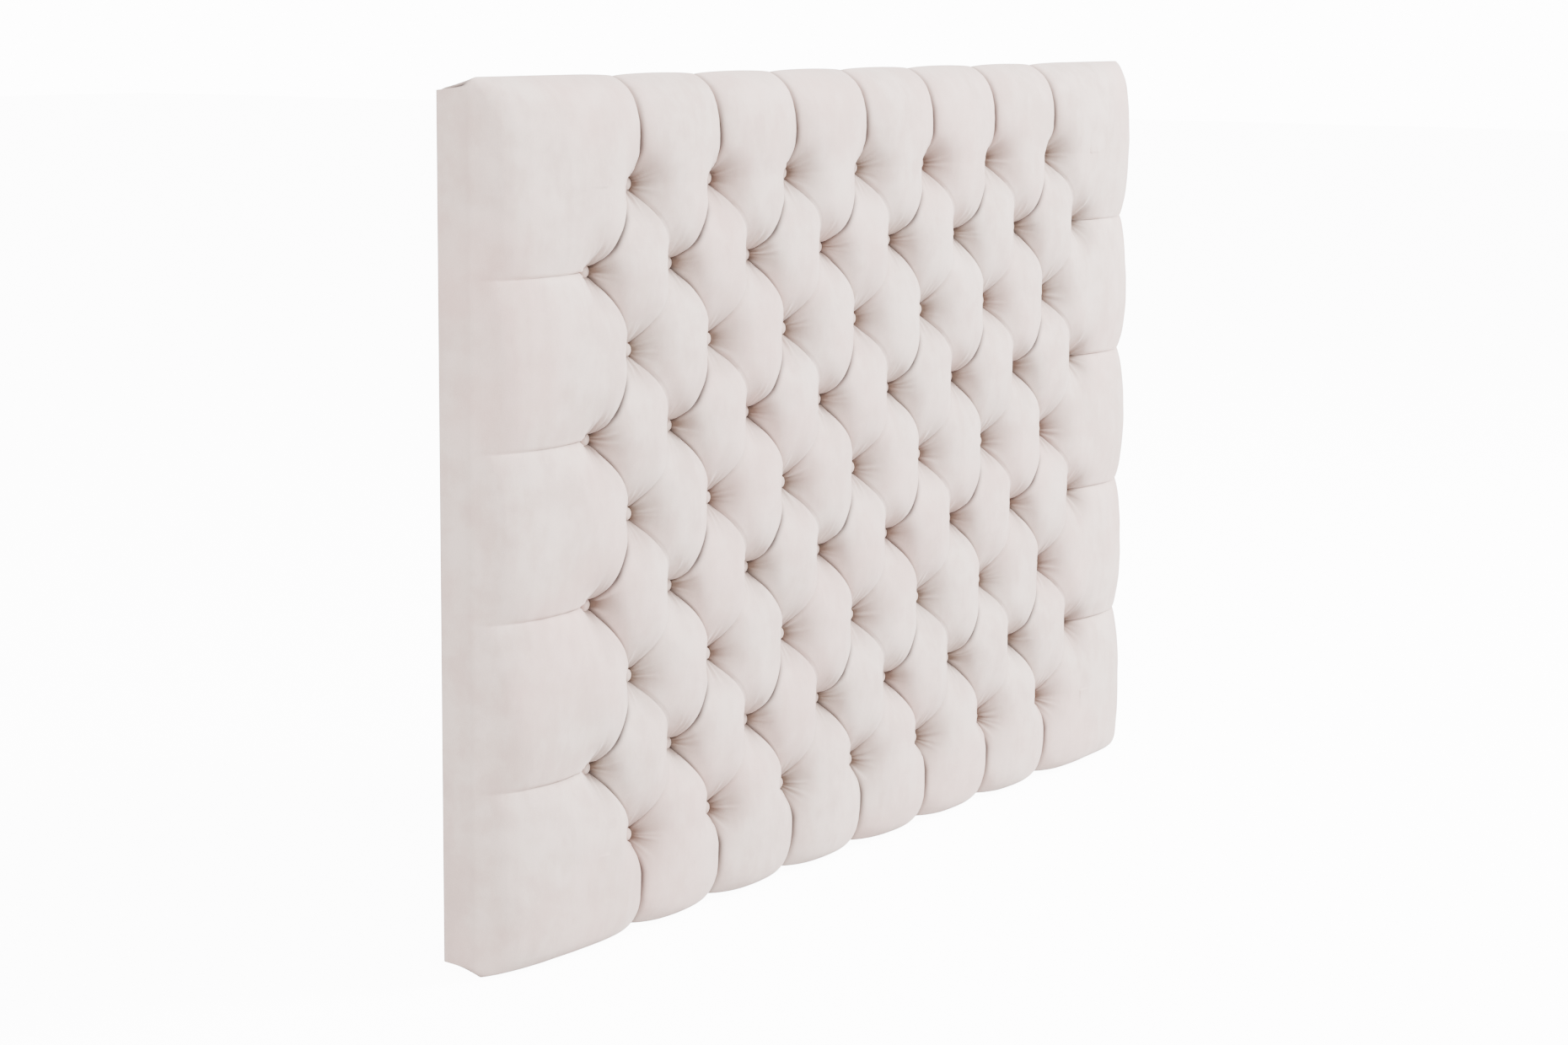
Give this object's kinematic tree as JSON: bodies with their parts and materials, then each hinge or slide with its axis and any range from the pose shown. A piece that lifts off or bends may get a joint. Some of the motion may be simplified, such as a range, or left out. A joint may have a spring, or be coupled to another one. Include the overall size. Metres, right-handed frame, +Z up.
{
  "type": "headboard",
  "caption": "Tall rectangular headboard with a deep-buttoned diamond-tufted velvet face, padded sides and a timber frame with bolt inserts behind.",
  "frame": {"origin": "on the floor, midway across the width and midway through the depth", "axes": "+X across the width, to the right seen from the padded front; -Y towards the padded front; +Z up"},
  "size_m": [1.8, 0.12, 1.2],
  "materials": {
    "velvet": "short pile velvet, pale warm grey",
    "button_velvet": "short pile velvet, drawn tight",
    "wadding": "white fibre wadding",
    "foam": "open-cell foam, cream",
    "plywood": "birch plywood, sanded",
    "timber": "planed softwood",
    "screw_steel": "yellow zinc plated",
    "staple_steel": "galvanised wire",
    "insert_steel": "zinc plated",
    "button_steel": "tinned",
    "lining": "black nonwoven cloth",
    "nylon": "black nylon",
    "twine": "waxed nylon twine"
  },
  "bodies": {
    "root": {"velvet_cover": "velvet", "fibre_filling": "wadding", "foam_pad": "foam", "tufting_board": "plywood", "top_rail": "timber", "bottom_rail": "timber", "left_stile": "timber", "right_stile": "timber", "left_bolt_upright": "timber", "right_bolt_upright": "timber", "left_inner_upright": "timber", "right_inner_upright": "timber", "corner_blocks": "timber", "frame_screws": "screw_steel", "board_screws": "screw_steel", "glide_screws": "screw_steel", "velvet_staples": "staple_steel", "dust_cover_staples": "staple_steel", "dust_cover": "lining", "bolt_inserts": "insert_steel", "floor_glides": "nylon", "button_backs": "button_steel", "tufting_twine": "twine", "twine_washers": "nylon", "buttons_row_1": "button_velvet", "buttons_row_2": "button_velvet", "buttons_row_3": "button_velvet", "buttons_row_4": "button_velvet", "buttons_row_5": "button_velvet", "buttons_row_6": "button_velvet", "buttons_row_7": "button_velvet", "buttons_row_8": "button_velvet", "buttons_row_9": "button_velvet"}
  },
  "joints": []
}
